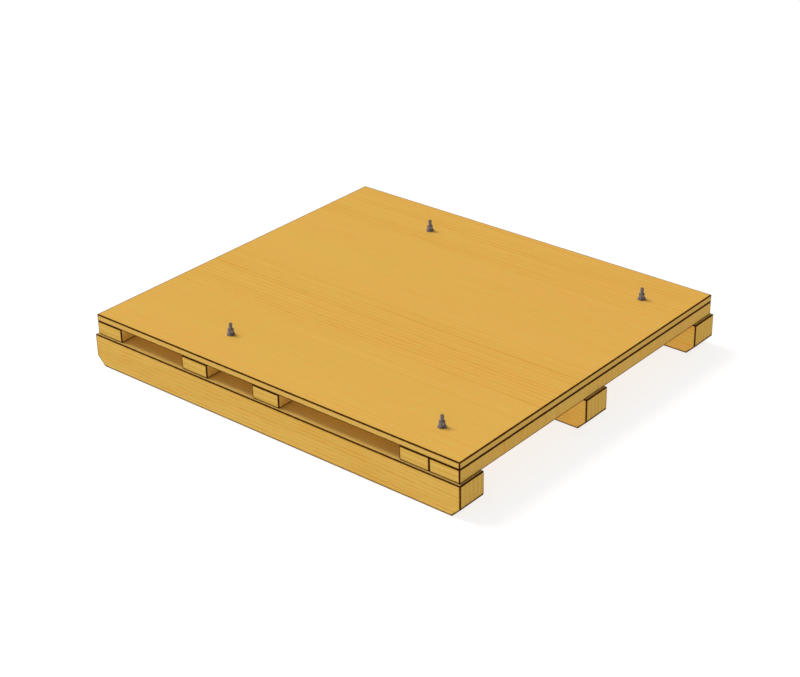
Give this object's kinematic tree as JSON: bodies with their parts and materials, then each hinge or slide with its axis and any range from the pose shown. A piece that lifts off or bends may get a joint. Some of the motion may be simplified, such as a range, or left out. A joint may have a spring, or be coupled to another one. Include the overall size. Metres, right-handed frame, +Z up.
{
  "type": "wooden pallet",
  "caption": "Low wooden skid: a flat plywood deck on cross boards over thick runners with chamfered ends, with threaded studs and nuts standing out of the deck to hold a machine down.",
  "frame": {"origin": "on the floor, under the centre of the base", "axes": "+X along the runners, from the end with one cross board towards the end with two side by side; +Y across the runners, front to back; +Z up"},
  "size_m": [1.2192, 1.0922, 0.1796],
  "materials": {
    "lumber": "planed softwood, dry and unfinished",
    "plywood": "sanded softwood plywood, unfinished",
    "bolt_steel": "dark oiled steel",
    "nail_steel": "bright steel wire"
  },
  "bodies": {
    "root": {"runner_front": "lumber", "runner_middle": "lumber", "runner_back": "lumber", "cross_board_1": "lumber", "cross_board_2": "lumber", "cross_board_3": "lumber", "cross_board_4": "lumber", "cross_board_5": "lumber", "deck_sheet": "plywood", "carriage_bolt_1": "bolt_steel", "carriage_bolt_2": "bolt_steel", "carriage_bolt_3": "bolt_steel", "carriage_bolt_4": "bolt_steel", "flat_washer_1": "bolt_steel", "flat_washer_2": "bolt_steel", "flat_washer_3": "bolt_steel", "flat_washer_4": "bolt_steel", "nail_board_1_front_a": "nail_steel", "nail_board_1_front_b": "nail_steel", "nail_board_1_middle_a": "nail_steel", "nail_board_1_middle_b": "nail_steel", "nail_board_1_back_a": "nail_steel", "nail_board_1_back_b": "nail_steel", "nail_board_2_front_a": "nail_steel", "nail_board_2_front_b": "nail_steel", "nail_board_2_middle_a": "nail_steel", "nail_board_2_middle_b": "nail_steel", "nail_board_2_back_a": "nail_steel", "nail_board_2_back_b": "nail_steel", "nail_board_3_front_a": "nail_steel", "nail_board_3_front_b": "nail_steel", "nail_board_3_middle_a": "nail_steel", "nail_board_3_middle_b": "nail_steel", "nail_board_3_back_a": "nail_steel", "nail_board_3_back_b": "nail_steel", "nail_board_4_front_a": "nail_steel", "nail_board_4_front_b": "nail_steel", "nail_board_4_middle_a": "nail_steel", "nail_board_4_middle_b": "nail_steel", "nail_board_4_back_a": "nail_steel", "nail_board_4_back_b": "nail_steel", "nail_board_5_front_a": "nail_steel", "nail_board_5_front_b": "nail_steel", "nail_board_5_middle_a": "nail_steel", "nail_board_5_middle_b": "nail_steel", "nail_board_5_back_a": "nail_steel", "nail_board_5_back_b": "nail_steel"},
    "washer_1": {"lock_washer_1": "bolt_steel"},
    "nut_1": {"hex_nut_1": "bolt_steel"},
    "washer_2": {"lock_washer_2": "bolt_steel"},
    "nut_2": {"hex_nut_2": "bolt_steel"},
    "washer_3": {"lock_washer_3": "bolt_steel"},
    "nut_3": {"hex_nut_3": "bolt_steel"},
    "washer_4": {"lock_washer_4": "bolt_steel"},
    "nut_4": {"hex_nut_4": "bolt_steel"}
  },
  "joints": [
    {"name": "nut_turn_1", "type": "hinge", "parent": "root", "child": "washer_1", "pos_m": [-0.24368, -0.4064, 0.14928], "axis": [0, 0, 1], "range_deg": [0, 3600]},
    {"name": "nut_rise_1", "type": "slide", "parent": "washer_1", "child": "nut_1", "axis": [0, 0, 1], "range_m": [0, 0.01588]},
    {"name": "nut_turn_2", "type": "hinge", "parent": "root", "child": "washer_2", "pos_m": [0.47198, -0.43815, 0.14928], "axis": [0, 0, 1], "range_deg": [0, 3600]},
    {"name": "nut_rise_2", "type": "slide", "parent": "washer_2", "child": "nut_2", "axis": [0, 0, 1], "range_m": [0, 0.01588]},
    {"name": "nut_turn_3", "type": "hinge", "parent": "root", "child": "washer_3", "pos_m": [-0.24368, 0.40481, 0.14928], "axis": [0, 0, 1], "range_deg": [0, 3600]},
    {"name": "nut_rise_3", "type": "slide", "parent": "washer_3", "child": "nut_3", "axis": [0, 0, 1], "range_m": [0, 0.01588]},
    {"name": "nut_turn_4", "type": "hinge", "parent": "root", "child": "washer_4", "pos_m": [0.47198, 0.40481, 0.14928], "axis": [0, 0, 1], "range_deg": [0, 3600]},
    {"name": "nut_rise_4", "type": "slide", "parent": "washer_4", "child": "nut_4", "axis": [0, 0, 1], "range_m": [0, 0.01588]}
  ],
  "couplings": [
    {"joint": "nut_rise_1", "follows": "nut_turn_1", "m_per_rad": 0.00025266},
    {"joint": "nut_rise_2", "follows": "nut_turn_2", "m_per_rad": 0.00025266},
    {"joint": "nut_rise_3", "follows": "nut_turn_3", "m_per_rad": 0.00025266},
    {"joint": "nut_rise_4", "follows": "nut_turn_4", "m_per_rad": 0.00025266}
  ]
}
